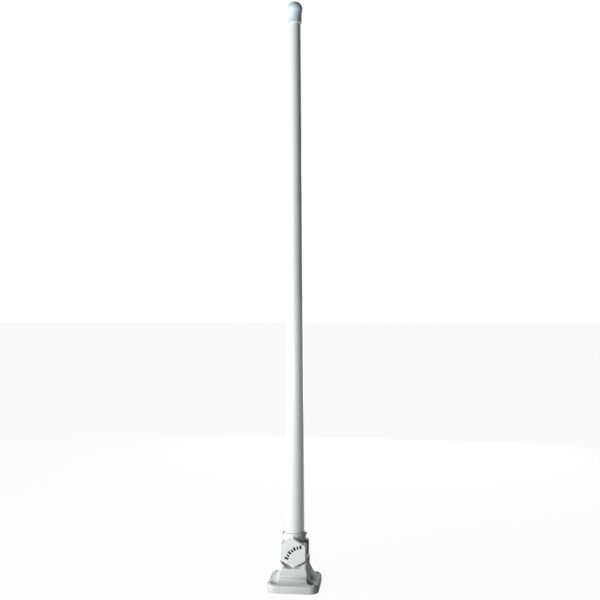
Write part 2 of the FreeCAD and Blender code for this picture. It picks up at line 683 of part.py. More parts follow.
def make_radiators():
    """Brass sleeve, the two rods and the phasing coil between them."""
    sleeve_foot = f"{SLEEVE_TOP} - sleeve_length"
    inner = "sleeve_dia / 2 - sleeve_wall"
    turned("lower_radiator", [(inner, sleeve_foot), ("sleeve_dia / 2", sleeve_foot),
                              ("sleeve_dia / 2", SLEEVE_TOP), ("coax_dia / 2 + slip_gap / 2", SLEEVE_TOP),
                              ("coax_dia / 2 + slip_gap / 2", f"{SLEEVE_TOP} - sleeve_end"),
                              (inner, f"{SLEEVE_TOP} - sleeve_end")])
    rod_bore = "(rod_dia + slip_gap)"
    finished(tube("sleeve_dia", rod_bore, "insulator_thick", SLEEVE_TOP), "feed_insulator")
    finished(bar("rod_dia", "insulator_thick + upper_rod + rod_seat", SLEEVE_TOP), "upper_radiator")
    finished(bar("rod_dia", f"{TOP_ROD_END} - {TOP_ROD_FOOT}", TOP_ROD_FOOT), "top_radiator")
    finished(tube("coil_former_dia", rod_bore, "coil_length", COIL_FOOT), "coil_former")
    start = f"({COIL_FOOT} + (coil_length - coil_turns * coil_wire) / 2)"
    wound = bar("(coil_former_dia + coil_wire * 2)", "coil_turns * coil_wire", start)
    space = bar("(coil_former_dia + slip_gap)", "coil_turns * coil_wire", start)
    finished(cut(wound, space), "phasing_coil")


def make_packing():
    """Foam discs that keep the feeder and the radiators in the middle, and the plug at the tip."""
    held = [(f"{SLEEVE_TOP} - sleeve_length / 2", "sleeve_dia"),
            (f"{COIL_FOOT} - upper_rod / 2", "rod_dia")]
    for n in range(1, DISCS + 1):
        share = f"{n} / ({DISCS} + 1)"
        held.append((f"{SPIGOT_TOP} + beads_rise * {share}", "coax_dia"))
        held.append((f"{COIL_TOP} + ({TOP_ROD_END} - {COIL_TOP}) * {share}", "rod_dia"))
    discs = []
    for foot, core in held:
        outer = f"({mast_bore(f'({foot} + disc_thick)')} - foam_gap)"
        discs.append(tube(outer, f"({core} + foam_gap)", "disc_thick", foot))
    finished(group(*discs), "spacer_discs")
    finished(bar(f"({mast_bore(MAST_TOP)} - foam_gap)", "damper_length", f"{MAST_TOP} - damper_length"),
             "tip_damper")


make_base_body()
make_gasket()
make_ratchet()
make_pivot()
make_swivel_head()
make_front_cover()
make_clamp()
make_collar_screws()
make_mast()
make_feed()
make_radiators()
make_packing()
doc.recompute()

for item in doc.Objects:
    if {"Invalid", "Error"} & set(item.State):
        raise RuntimeError(f"{item.Name} ({item.TypeId}) failed: {item.State}")
for item in parts:
    if item.Shape.isNull() or not item.Shape.isValid() or not item.Shape.Solids:
        raise RuntimeError(f"{item.Label} has no valid solid")

os.makedirs("parts", exist_ok=True)
for item in parts:
    item.Shape.exportStep(f"parts/{item.Label}.step")
    box = item.Shape.BoundBox
    print(f"{item.Label}: {len(item.Shape.Solids)} solid, z {box.ZMin:.1f} to {box.ZMax:.1f}, "
          f"{item.Shape.Volume / 1000:.2f} cm3")
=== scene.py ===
# %% [markdown]
# # A whip antenna on a folding mount
#
# The object is a slim tapered mast of coated glass fibre with a round tip cap, held by a white
# nylon mount that folds down to the right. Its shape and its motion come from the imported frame,
# so this lesson is about what the eye reads next: soft moulded edges, a printed scale, screw
# heads, and plastics that don't look like flat paint.

import json
import math

import bpy
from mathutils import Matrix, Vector

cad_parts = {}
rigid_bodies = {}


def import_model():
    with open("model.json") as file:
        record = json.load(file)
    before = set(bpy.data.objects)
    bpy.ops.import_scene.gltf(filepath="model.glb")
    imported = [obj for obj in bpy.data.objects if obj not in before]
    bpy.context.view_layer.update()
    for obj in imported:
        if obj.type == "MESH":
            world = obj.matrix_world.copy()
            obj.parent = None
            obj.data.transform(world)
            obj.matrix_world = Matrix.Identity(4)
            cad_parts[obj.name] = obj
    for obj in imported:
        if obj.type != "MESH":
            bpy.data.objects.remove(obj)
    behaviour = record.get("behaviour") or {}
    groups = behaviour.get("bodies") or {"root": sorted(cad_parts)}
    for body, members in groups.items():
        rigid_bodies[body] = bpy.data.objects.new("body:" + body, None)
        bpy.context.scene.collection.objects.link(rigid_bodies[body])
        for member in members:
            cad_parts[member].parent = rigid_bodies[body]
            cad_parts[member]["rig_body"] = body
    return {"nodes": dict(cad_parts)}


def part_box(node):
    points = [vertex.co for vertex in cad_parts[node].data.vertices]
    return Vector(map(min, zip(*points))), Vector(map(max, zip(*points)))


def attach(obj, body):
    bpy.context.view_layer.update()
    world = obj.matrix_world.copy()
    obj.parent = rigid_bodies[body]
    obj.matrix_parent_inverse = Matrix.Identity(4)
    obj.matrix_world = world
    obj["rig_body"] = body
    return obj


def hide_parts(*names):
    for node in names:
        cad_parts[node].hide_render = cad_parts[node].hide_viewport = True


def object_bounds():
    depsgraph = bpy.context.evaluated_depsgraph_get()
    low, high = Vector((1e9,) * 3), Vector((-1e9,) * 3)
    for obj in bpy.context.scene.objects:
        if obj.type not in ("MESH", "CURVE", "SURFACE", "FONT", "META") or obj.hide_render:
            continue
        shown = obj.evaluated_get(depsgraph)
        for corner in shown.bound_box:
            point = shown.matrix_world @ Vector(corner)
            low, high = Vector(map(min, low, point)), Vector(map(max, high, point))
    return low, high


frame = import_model()
cad_low, cad_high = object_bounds()
print("the frame is", [round(v, 4) for v in cad_high - cad_low], "metres")

MM = 0.001

# %% [markdown]
# ## The camera
#
# A tall thin object is shown from a long way off, so that its sides stay parallel. The camera
# looks level from the middle of the mast's height, a few degrees to the right of the front. A
# level camera keeps the mast upright in the picture, and a very small shift finishes the framing.

# %% Place the camera
CAMERA_AZIMUTH = math.radians(6.4)
CAMERA_DISTANCE = 1.43
CAMERA_HEIGHT = 0.4435
CAMERA_LENS = 55.7
CAMERA_SHIFT = (0.0087, -0.0033)

camera_data = bpy.data.cameras.new("camera")
camera_data.lens = CAMERA_LENS
camera_data.shift_x, camera_data.shift_y = CAMERA_SHIFT
camera = bpy.data.objects.new("camera", camera_data)
camera.location = (math.sin(CAMERA_AZIMUTH) * CAMERA_DISTANCE,
                   -math.cos(CAMERA_AZIMUTH) * CAMERA_DISTANCE, CAMERA_HEIGHT)
camera.rotation_euler = (math.radians(90), 0, CAMERA_AZIMUTH)
bpy.context.scene.collection.objects.link(camera)
bpy.context.scene.camera = camera
bpy.context.scene.view_settings.view_transform = "Standard"
print("the camera stands at", [round(v, 3) for v in camera.location], "metres")

# %% [markdown]
# ## Light from the left
#
# White plastic shows its shape only where the light falls off. So the studio is bright at the
# left and dark at the right: the world's brightness follows the direction that a ray leaves in.
# It is also darker overhead, so that faces that slope upwards are greyer than upright ones. The
# camera itself sees plain white, like a paper backdrop, and glossy surfaces mirror a white screen
# behind, which gives the mast its pale right edge.

# %% Build the world
# How bright the studio is at its left and right, behind and overhead, and between which parts of a
# ray's direction each brightness changes into the next.
WORLD_LEFT = 0.7
WORLD_RIGHT = 0.03
WORLD_BEHIND = 0.9
WORLD_OVERHEAD = 0.1
SIDE_SPAN = (-0.9, 0.1)
OVERHEAD_SPAN = (0.05, 0.75)
BEHIND_SPAN = (0.1, 0.9)
LIGHT_COLOUR = (0.93, 0.98, 1.0, 1)
WHITE = (1, 1, 1, 1)

world = bpy.data.worlds.new("studio")
bpy.context.scene.world = world
world.use_nodes = True
sky = world.node_tree
sky.nodes.clear()


def add_node(tree, kind, feeds=None, **settings):
    """A node with plain settings; feeds maps its inputs to sockets or values."""
    node = tree.nodes.new(kind)
    for name, value in settings.items():
        setattr(node, name, value)
    for name, value in (feeds or {}).items():
        if isinstance(value, bpy.types.NodeSocket):
            tree.links.new(value, node.inputs[name])
        else:
            node.inputs[name].default_value = value
    return node


def slope(axis, span, at_low, at_high):
    """Brightness that changes smoothly with one part of a ray's direction."""
    ramp = add_node(sky, "ShaderNodeMapRange", {"Value": axis, "From Min": span[0], "From Max": span[1],
                                                "To Min": at_low, "To Max": at_high})
    ramp.interpolation_type = "SMOOTHSTEP"
    return ramp.outputs[0]


leaving = add_node(sky, "ShaderNodeTexCoord")
parts = add_node(sky, "ShaderNodeSeparateXYZ", {0: leaving.outputs["Generated"]})
from_side = slope(parts.outputs["X"], SIDE_SPAN, WORLD_LEFT, WORLD_RIGHT)
overhead = slope(parts.outputs["Z"], OVERHEAD_SPAN, 1.0, WORLD_OVERHEAD)
behind = slope(parts.outputs["Y"], BEHIND_SPAN, 0.0, WORLD_BEHIND)
ray = add_node(sky, "ShaderNodeLightPath")
mirrored = add_node(sky, "ShaderNodeMath", {0: behind, 1: ray.outputs["Is Glossy Ray"]},
                    operation="MULTIPLY")
shaded = add_node(sky, "ShaderNodeMath", {0: from_side, 1: overhead}, operation="MULTIPLY")
total = add_node(sky, "ShaderNodeMath", {0: shaded.outputs[0], 1: mirrored.outputs[0]})
lighting = add_node(sky, "ShaderNodeBackground", {"Color": LIGHT_COLOUR,
                                                  "Strength": total.outputs[0]})
backdrop = add_node(sky, "ShaderNodeBackground", {"Color": WHITE})
choose = add_node(sky, "ShaderNodeMixShader",
                  {0: ray.outputs["Is Camera Ray"], 1: lighting.outputs[0], 2: backdrop.outputs[0]})
add_node(sky, "ShaderNodeOutputWorld", {"Surface": choose.outputs[0]})
print("the world has", len(sky.nodes), "nodes")

# %% [markdown]
# ## Three lamps
#
# The world alone is too even for a round mast. A large lamp at the left stands for a window and
# gives the mast its bright side. A small low one in front lights the foot, where the large one
# comes in at a slant, and a weak one behind keeps the back of the mount readable.


# %% Add the lamps
def add_lamp(name, place, aim, size, power, colour):
    """Adds a square area lamp at a place, turned towards its aim."""
    data = bpy.data.lights.new(name, "AREA")
    data.size = size
    data.energy = power
    data.color = colour
    lamp = bpy.data.objects.new(name, data)
    lamp.location = place
    lamp.rotation_euler = (Vector(aim) - Vector(place)).to_track_quat("-Z", "Y").to_euler()
    bpy.context.scene.collection.objects.link(lamp)


MIDDLE = (0, 0, cad_high.z / 2)
LAMPS = {
    "window": dict(place=(-1.2, -1.1, 0.5), aim=MIDDLE, size=1.0, power=17, colour=(1.0, 0.99, 0.97)),
    "back": dict(place=(0.1, 1.5, 0.5), aim=MIDDLE, size=0.9, power=8, colour=(0.97, 0.99, 1.0)),
    "low_front": dict(place=(-0.15, -1.2, 0.06), aim=(0, 0, 0.03), size=0.1, power=2.0,
                      colour=(1.0, 1.0, 1.0)),
}
for lamp_name, values in LAMPS.items():
    add_lamp(lamp_name, **values)
print("lamps:", ", ".join(LAMPS))

# %% [markdown]
# ## The floor
#
# The floor is plain and pale. It shows white to the camera, with a trace of the object's shadow.
# It throws light back up in front of the object and a little at its left, so that upright faces
# are paler than the hollow coves above them and the shaded side of the mount stays dark.

# %% Lay the floor
FLOOR_SIZE = 30
FLOOR_COLOUR = (0.12, 0.125, 0.13, 1)
FLOOR_SEEN = 0.94
FLOOR_GLOW = 2.2
FLOOR_BESIDE = 0.2
FADE_SIDEWAYS = (-0.15, 0.03)
FADE_BACKWARDS = (-0.1, 0.0)

bpy.ops.mesh.primitive_plane_add(size=FLOOR_SIZE, location=(0, 0, 0))
floor = bpy.context.object
floor.name = "floor"
floor_finish = bpy.data.materials.new("pale_floor")
floor_finish.use_nodes = True
ground = floor_finish.node_tree
ground.nodes.clear()
spot = add_node(ground, "ShaderNodeTexCoord")
spot_parts = add_node(ground, "ShaderNodeSeparateXYZ", {0: spot.outputs["Object"]})
sideways = add_node(ground, "ShaderNodeMapRange",
                    {"Value": spot_parts.outputs["X"], "From Min": FADE_SIDEWAYS[0],
                     "From Max": FADE_SIDEWAYS[1], "To Min": FLOOR_GLOW, "To Max": 0.0})
backwards = add_node(ground, "ShaderNodeMapRange",
                     {"Value": spot_parts.outputs["Y"], "From Min": FADE_BACKWARDS[0],
                      "From Max": FADE_BACKWARDS[1], "To Min": 1.0, "To Max": FLOOR_BESIDE})
glow = add_node(ground, "ShaderNodeMath", {0: sideways.outputs[0], 1: backwards.outputs[0]},
                operation="MULTIPLY")
floor_ray = add_node(ground, "ShaderNodeLightPath")
mirror_or_glow = add_node(ground, "ShaderNodeMix", {0: floor_ray.outputs["Is Glossy Ray"],
                                                    2: glow.outputs[0], 3: FLOOR_SEEN})
strength = add_node(ground, "ShaderNodeMix", {0: floor_ray.outputs["Is Camera Ray"],
                                              2: mirror_or_glow.outputs[0], 3: FLOOR_SEEN})
shine = add_node(ground, "ShaderNodeEmission", {"Color": WHITE, "Strength": strength.outputs[0]})
lit = add_node(ground, "ShaderNodeBsdfDiffuse", {"Color": FLOOR_COLOUR})
both = add_node(ground, "ShaderNodeAddShader", {0: shine.outputs[0], 1: lit.outputs[0]})
add_node(ground, "ShaderNodeOutputMaterial", {"Surface": both.outputs[0]})
floor.data.materials.append(floor_finish)
print("floor:", FLOOR_SIZE, "metres wide")

# %% [markdown]
# ## Shared surface effects
#
# Moulded plastic has a fine grain from its mould, patches that are a little more or less shiny,
# a slow drift of colour, edges that are rubbed paler and creases painted darker as shade. Each of
# these is one node group with named inputs, so that every finish can use it with its own values.


# %% A helper for node groups
def new_group(name, inputs, outputs):
    """An empty shader node group with its sockets, as (tree, input node, output node)."""
    tree = bpy.data.node_groups.new(name, "ShaderNodeTree")
    for socket, kind, default in inputs:
        made = tree.interface.new_socket(socket, in_out="INPUT", socket_type=kind)
        if default is not None:
            made.default_value = default
    for socket, kind in outputs:
        tree.interface.new_socket(socket, in_out="OUTPUT", socket_type=kind)
    return tree, tree.nodes.new("NodeGroupInput"), tree.nodes.new("NodeGroupOutput")


def mix_colours(tree, factor, first, second):
    """The colour between two others. A Mix node keeps its colour sockets at 6 and 7, its result at 2."""
    mixer = add_node(tree, "ShaderNodeMix", {0: factor, 6: first, 7: second}, data_type="RGBA")
    return mixer.outputs[2]


# %% Moulded grain
# Two sizes of noise make the height: a fine one for the grain and a broad one for the slight
# waviness of a part that shrank as it cooled.
WAVE_SCALE = 55.0
GRAIN_HEIGHT = 0.0004
WAVE_HEIGHT = 0.004

GRAIN, grain_in, grain_out = new_group(
    "moulded_grain",
    [("Place", "NodeSocketVector", None), ("Grain Scale", "NodeSocketFloat", 1500.0),
     ("Grain Depth", "NodeSocketFloat", 0.05), ("Wave Depth", "NodeSocketFloat", 0.02)],
    [("Normal", "NodeSocketVector")])
fine = add_node(GRAIN, "ShaderNodeTexNoise", {"Vector": grain_in.outputs["Place"],
                                              "Scale": grain_in.outputs["Grain Scale"], "Detail": 3.0})
broad = add_node(GRAIN, "ShaderNodeTexNoise", {"Vector": grain_in.outputs["Place"],
                                               "Scale": WAVE_SCALE, "Detail": 1.0})
fine_bump = add_node(GRAIN, "ShaderNodeBump", {"Strength": grain_in.outputs["Grain Depth"],
                                               "Distance": GRAIN_HEIGHT, "Height": fine.outputs["Fac"]})
wave_bump = add_node(GRAIN, "ShaderNodeBump", {"Strength": grain_in.outputs["Wave Depth"],
                                               "Distance": WAVE_HEIGHT, "Height": broad.outputs["Fac"],
                                               "Normal": fine_bump.outputs["Normal"]})
GRAIN.links.new(wave_bump.outputs["Normal"], grain_out.inputs["Normal"])

# %% Tone drift
# The colour slides a little between the base colour and a second one, and the roughness with it.
DRIFT, drift_in, drift_out = new_group(
    "tone_drift",
    [("Place", "NodeSocketVector", None), ("Colour", "NodeSocketColor", (0.8, 0.8, 0.8, 1)),
     ("Second Colour", "NodeSocketColor", (0.7, 0.7, 0.7, 1)), ("Patch Scale", "NodeSocketFloat", 30.0),
     ("Amount", "NodeSocketFloat", 0.4), ("Roughness", "NodeSocketFloat", 0.4),
     ("Roughness Spread", "NodeSocketFloat", 0.08)],
    [("Colour", "NodeSocketColor"), ("Roughness", "NodeSocketFloat")])
patch = add_node(DRIFT, "ShaderNodeTexNoise", {"Vector": drift_in.outputs["Place"],
                                               "Scale": drift_in.outputs["Patch Scale"], "Detail": 4.0})
share = add_node(DRIFT, "ShaderNodeMath", {0: patch.outputs["Fac"], 1: drift_in.outputs["Amount"]},
                 operation="MULTIPLY")
drifted = mix_colours(DRIFT, share.outputs[0], drift_in.outputs["Colour"],
                      drift_in.outputs["Second Colour"])
low_rough = add_node(DRIFT, "ShaderNodeMath", {0: drift_in.outputs["Roughness"],
                                               1: drift_in.outputs["Roughness Spread"]},
                     operation="SUBTRACT")
high_rough = add_node(DRIFT, "ShaderNodeMath", {0: drift_in.outputs["Roughness"],
                                                1: drift_in.outputs["Roughness Spread"]},
                      operation="ADD")
rough = add_node(DRIFT, "ShaderNodeMapRange", {"Value": patch.outputs["Fac"],
                                               "To Min": low_rough.outputs[0],
                                               "To Max": high_rough.outputs[0]})
DRIFT.links.new(drifted, drift_out.inputs["Colour"])
DRIFT.links.new(rough.outputs[0], drift_out.inputs["Roughness"])

# %% Edge rub and painted crease shade
# The Geometry node's Pointiness says how sharp a surface is at each place: a half is flat, more is
# an edge and less is a crease. Edges get rubbed and go paler, as wear; creases get painted shade.
EDGE_SPAN = (0.52, 0.60)
CREASE_SHADE_SPAN = (0.48, 0.40)

RUB_AND_CREASE_SHADE, rub_and_shade_in, rub_and_shade_out = new_group(
    "edge_rub_and_crease_shade",
    [("Colour", "NodeSocketColor", (0.8, 0.8, 0.8, 1)),
     ("Edge Colour", "NodeSocketColor", (0.9, 0.9, 0.9, 1)),
     ("Crease Shade Colour", "NodeSocketColor", (0.4, 0.4, 0.4, 1)),
     ("Edge Amount", "NodeSocketFloat", 0.4), ("Crease Shade Amount", "NodeSocketFloat", 0.3)],
    [("Colour", "NodeSocketColor")])
shape = add_node(RUB_AND_CREASE_SHADE, "ShaderNodeNewGeometry")
edge = add_node(RUB_AND_CREASE_SHADE, "ShaderNodeMapRange",
                {"Value": shape.outputs["Pointiness"], "From Min": EDGE_SPAN[0],
                 "From Max": EDGE_SPAN[1], "To Max": rub_and_shade_in.outputs["Edge Amount"]})
# Painted shade: creases are darkened towards the crease colour, as if shade fell in them.
crease = add_node(RUB_AND_CREASE_SHADE, "ShaderNodeMapRange",
                  {"Value": shape.outputs["Pointiness"], "From Min": CREASE_SHADE_SPAN[0],
                   "From Max": CREASE_SHADE_SPAN[1], "To Max": rub_and_shade_in.outputs["Crease Shade Amount"]})
paler = mix_colours(RUB_AND_CREASE_SHADE, edge.outputs[0], rub_and_shade_in.outputs["Colour"], rub_and_shade_in.outputs["Edge Colour"])
# The painted crease shade is mixed over the rubbed edge colour.
crease_shaded = mix_colours(RUB_AND_CREASE_SHADE, crease.outputs[0], paler, rub_and_shade_in.outputs["Crease Shade Colour"])
RUB_AND_CREASE_SHADE.links.new(crease_shaded, rub_and_shade_out.inputs["Colour"])
print("shared effects:", [tree.name for tree in bpy.data.node_groups])

# %% [markdown]
# ## Finishes
#
# Every finish is one Principled shader fed by the shared groups. What is the same all over a
# surface, such as metal or not, is set on the shader itself; what changes over it comes from a
# group. A pattern that has a direction, such as brushed steel, gets its own stretched noise.


# %% One maker for all the finishes
def finish(name, colour, second, roughness, spread=0.06, amount=0.5, patch_scale=30.0, grain=1500.0,
           depth=0.04, wave=0.015, stretch=(1, 1, 1), rubbed_and_shaded=None, **shader):
    """A material from the shared groups. Its rub and shade argument holds the edge colour of wear, the
    crease colour of painted shade and their two amounts.
    """
    material = bpy.data.materials.new(name)
    material.use_nodes = True
    tree = material.node_tree
    principled = tree.nodes["Principled BSDF"]
    place = add_node(tree, "ShaderNodeTexCoord")
    scaled = add_node(tree, "ShaderNodeMapping", {"Vector": place.outputs["Object"], "Scale": stretch})
    drift = add_node(tree, "ShaderNodeGroup", node_tree=DRIFT)
    for socket, value in (("Colour", (*colour, 1)), ("Second Colour", (*second, 1)), ("Amount", amount),
                          ("Patch Scale", patch_scale), ("Roughness", roughness),
                          ("Roughness Spread", spread)):
        drift.inputs[socket].default_value = value
    tree.links.new(scaled.outputs[0], drift.inputs["Place"])
    bumps = add_node(tree, "ShaderNodeGroup", node_tree=GRAIN)
    for socket, value in (("Grain Scale", grain), ("Grain Depth", depth), ("Wave Depth", wave)):
        bumps.inputs[socket].default_value = value
    tree.links.new(scaled.outputs[0], bumps.inputs["Place"])
    shown = drift.outputs["Colour"]
    if rubbed_and_shaded:
        # The crease colour is painted shade in the creases; the edge colour is wear.
        edge_colour, crease_shade_colour, edge_amount, crease_shade_amount = rubbed_and_shaded
        rub_and_shade = add_node(tree, "ShaderNodeGroup", node_tree=RUB_AND_CREASE_SHADE)
        rub_and_shade.inputs["Edge Colour"].default_value = (*edge_colour, 1)
        rub_and_shade.inputs["Crease Shade Colour"].default_value = (*crease_shade_colour, 1)
        rub_and_shade.inputs["Edge Amount"].default_value = edge_amount
        rub_and_shade.inputs["Crease Shade Amount"].default_value = crease_shade_amount
        tree.links.new(shown, rub_and_shade.inputs["Colour"])
        shown = rub_and_shade.outputs["Colour"]
    tree.links.new(shown, principled.inputs["Base Color"])
    tree.links.new(drift.outputs["Roughness"], principled.inputs["Roughness"])
    tree.links.new(bumps.outputs["Normal"], principled.inputs["Normal"])
    for socket, value in shader.items():
        principled.inputs[socket.replace("_", " ")].default_value = value
    return material


# %% White plastics
# The mount is glass-filled nylon: a cool white with a fine matt grain. The mast is smoother,
# because its coat flowed and set, and the cap is a softer, bluer plastic.
# In each finish below, the crease colour is painted shade that darkens the creases.
nylon = finish("white_nylon", (0.82, 0.85, 0.85), (0.77, 0.80, 0.80), 0.55, spread=0.07, amount=0.55,
               patch_scale=24, grain=1700, depth=0.10, wave=0.03,
               rubbed_and_shaded=((0.88, 0.90, 0.90), (0.42, 0.45, 0.46), 0.35, 0.45), Specular_IOR_Level=0.15)
cover_nylon = finish("cover_nylon", (0.81, 0.845, 0.85), (0.76, 0.795, 0.80), 0.36, spread=0.05,
                     amount=0.5, patch_scale=30, grain=2100, depth=0.07, wave=0.02,
                     rubbed_and_shaded=((0.90, 0.92, 0.92), (0.42, 0.45, 0.46), 0.3, 0.4), Specular_IOR_Level=0.5)
mast_coat = finish("mast_coat", (0.76, 0.81, 0.815), (0.71, 0.765, 0.77), 0.34, spread=0.05, amount=0.5,
                   patch_scale=16, grain=900, depth=0.035, wave=0.02, stretch=(1, 1, 0.18),
                   Coat_Weight=0.8, Coat_Roughness=0.14)
cap_plastic = finish("cap_plastic", (0.62, 0.72, 0.79), (0.56, 0.67, 0.75), 0.40, spread=0.06,
                     amount=0.5, patch_scale=60, grain=2400, depth=0.08, wave=0.02,
                     rubbed_and_shaded=((0.72, 0.80, 0.85), (0.30, 0.36, 0.42), 0.3, 0.4))

# %% Metals, rubber and small parts
stainless = finish("stainless", (0.56, 0.56, 0.57), (0.46, 0.46, 0.47), 0.30, spread=0.10, amount=0.6,
                   patch_scale=400, grain=2600, depth=0.10, wave=0.0, stretch=(1, 1, 6), Metallic=1.0)
tooth_steel = finish("tooth_steel", (0.50, 0.50, 0.50), (0.36, 0.35, 0.34), 0.38, spread=0.10,
                     amount=0.7, patch_scale=300, grain=2000, depth=0.12, wave=0.0, Metallic=1.0)
brass = finish("brass", (0.72, 0.52, 0.24), (0.60, 0.42, 0.20), 0.32, spread=0.08, amount=0.6,
               patch_scale=180, grain=2200, depth=0.06, wave=0.0, stretch=(1, 1, 5), Metallic=1.0)
bronze = finish("bronze", (0.60, 0.40, 0.20), (0.50, 0.33, 0.17), 0.42, spread=0.08, amount=0.6,
                patch_scale=260, grain=2200, depth=0.08, wave=0.0, Metallic=1.0)
copper = finish("copper_wire", (0.70, 0.30, 0.15), (0.58, 0.24, 0.12), 0.28, spread=0.06, amount=0.6,
                patch_scale=300, grain=1800, depth=0.05, wave=0.0, stretch=(1, 1, 8), Metallic=1.0,
                Coat_Weight=0.6)
# Its crease colour is painted shade; its paler edge colour is wear.
black_plastic = finish("black_plastic", (0.024, 0.025, 0.027), (0.040, 0.041, 0.043), 0.48, spread=0.08,
                       amount=0.7, patch_scale=70, grain=1600, depth=0.16, wave=0.02,
                       rubbed_and_shaded=((0.10, 0.10, 0.10), (0.015, 0.015, 0.015), 0.5, 0.4))
rubber = finish("rubber", (0.035, 0.036, 0.036), (0.055, 0.055, 0.054), 0.72, spread=0.08, amount=0.7,
                patch_scale=50, grain=1200, depth=0.14, wave=0.03)
ink = finish("scale_ink", (0.012, 0.013, 0.015), (0.030, 0.031, 0.033), 0.55, spread=0.06, amount=0.6,
             patch_scale=600, grain=2600, depth=0.10, wave=0.0)
natural_nylon = finish("natural_nylon", (0.74, 0.72, 0.64), (0.66, 0.64, 0.56), 0.50, spread=0.07,
                       amount=0.6, patch_scale=60, grain=1500, depth=0.08)
white_polymer = finish("white_polymer", (0.86, 0.86, 0.84), (0.80, 0.80, 0.78), 0.35, amount=0.5,
                       patch_scale=120, grain=1800, depth=0.04)
ferrite = finish("ferrite", (0.08, 0.08, 0.085), (0.13, 0.13, 0.13), 0.62, spread=0.1, amount=0.8,
                 patch_scale=500, grain=2600, depth=0.2)
foam = finish("closed_foam", (0.60, 0.62, 0.64), (0.50, 0.52, 0.54), 0.85, spread=0.05, amount=0.8,
              patch_scale=900, grain=1100, depth=0.6)
sealant = finish("sealant", (0.70, 0.74, 0.74), (0.55, 0.58, 0.58), 0.34, spread=0.08, amount=0.6,
                 patch_scale=160, grain=700, depth=0.10, wave=0.05)
print(len(bpy.data.materials) - 1, "finishes")

# %% [markdown]
# ## Finishes on the frame's own parts
#
# The parts inside the mast and the mount keep their shape from the frame and need only a finish.
# Each material goes on a short list of parts, so one loop does them all.

# %% Give the hidden parts their finishes
HIDDEN = {
    rubber: ("base_gasket", "foot_seal", "feed_coax"),
    tooth_steel: ("tongue_ring_front", "tongue_ring_rear", "head_ring_front", "head_ring_rear"),
    stainless: ("pivot_bolt", "clamp_washer", "clamp_spring"),
    bronze: ("pivot_bush",),
    brass: ("knob_insert", "screw_inserts", "coax_socket", "socket_pin", "lower_radiator",
            "upper_radiator", "top_radiator"),
    copper: ("phasing_coil",),
    natural_nylon: ("socket_holder", "feed_insulator", "coil_former"),
    white_polymer: ("socket_insulator",),
    ferrite: ("ferrite_beads",),
    foam: ("spacer_discs", "tip_damper"),
}
for material, names in HIDDEN.items():
    for name in names:
        mesh = frame["nodes"][name].data
        mesh.materials.clear()
        mesh.materials.append(material)
print(sum(len(names) for names in HIDDEN.values()), "hidden parts have a finish")

# %% [markdown]
# ## Working with operators
#
# An operator acts on whatever is selected, as a hand in the window would. Three small helpers keep
# that safe: one selects a single object, one puts a finished object's place into its mesh, and one
# gives it its shading, its finish and the body that it rides on.


# %% Small helpers for operators
def only(obj):
    """Selects one object and makes it active."""
    bpy.ops.object.select_all(action="DESELECT")
    obj.select_set(True)
    bpy.context.view_layer.objects.active = obj
    return obj


def settle(obj):
    """Puts the object at the origin, unturned and unscaled, with its place in its mesh."""
    only(obj)
    bpy.ops.object.transform_apply(location=True, rotation=True, scale=True)
    return obj


def polish(obj, material, body, slot, sharp=30):
    """Smooth shading up to a sharp angle, a finish and the body it rides on; slot is not used."""
    only(obj)
    bpy.ops.object.shade_smooth_by_angle(angle=math.radians(sharp))
    obj.data.materials.clear()
    obj.data.materials.append(material)
    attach(obj, body)
    return obj


def soften(obj, width, segments, angle=35):
    """Rounds the edges that are sharper than an angle."""
    only(obj)
    bevel = obj.modifiers.new("soften", "BEVEL")
    bevel.width = width
    bevel.segments = segments
    bevel.limit_method = "ANGLE"
    bevel.angle_limit = math.radians(angle)
    bpy.ops.object.modifier_apply(modifier="soften")


print("helpers:", ", ".join(helper.__name__ for helper in (only, settle, polish, soften)))

# %% [markdown]
# ## The mouldings that show
#
# A part that shows gets a copy that is finished like a moulding. The frame's mesh is loose
# triangles, so the copy's corners are first merged, and then the shading is made smooth up to a
# sharp edge. The hollow coves of the foot would still show bands where long thin triangles meet,
# so a Weighted Normal modifier lets the large faces decide which way the surface seems to point.

# %% Copy the mouldings that show
MERGE_WITHIN = 0.005 * MM


def moulding(node, name, material, slot):
    """A merged, smooth copy that stands for one of the frame's nodes."""
    source = frame["nodes"][node]
    only(source)
    bpy.ops.object.duplicate(linked=False)
    copy = bpy.context.object
    copy.name = name
    body = copy["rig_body"]
    for key in list(copy.keys()):
        if key.startswith("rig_"):
            del copy[key]
    copy.parent = None
    bpy.ops.object.mode_set(mode="EDIT")
    bpy.ops.mesh.select_all(action="SELECT")
    bpy.ops.mesh.remove_doubles(threshold=MERGE_WITHIN)
    bpy.ops.object.mode_set(mode="OBJECT")
    polish(copy, material, body, slot)
    even = copy.modifiers.new("even", "WEIGHTED_NORMAL")
    even.keep_sharp = True
    bpy.ops.object.modifier_apply(modifier="even")
    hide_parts(node)
    print(name, len(copy.data.polygons), "faces")


moulding("base_body", "base_moulding", nylon, "base_nylon")
moulding("swivel_head", "head_moulding", nylon, "head_nylon")
moulding("front_cover", "cover_moulding", cover_nylon, "head_nylon")
moulding("clamp_knob", "knob_moulding", black_plastic, "knob_plastic")

# %% [markdown]
# ## The mast
#
# The mast is a tube drawn from glass fibre and sprayed with a smooth coat, and its sides taper
# evenly from foot to tip. A cone primitive without ends has that taper. A Solidify modifier gives
# it its wall, inwards, and a narrow bevel rounds the cut ends.

# %% Make the mast tube
tube_low, tube_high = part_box("mast_tube")
MAST_WALL = 2.8 * MM
MAST_TIP_RADIUS = 8.85 * MM
MAST_EDGE = 0.3 * MM


def taper(height):
    """The mast's outer radius at a height."""
    climbed = (height - tube_low.z) / (tube_high.z - tube_low.z)
    return tube_high.x + (MAST_TIP_RADIUS - tube_high.x) * climbed


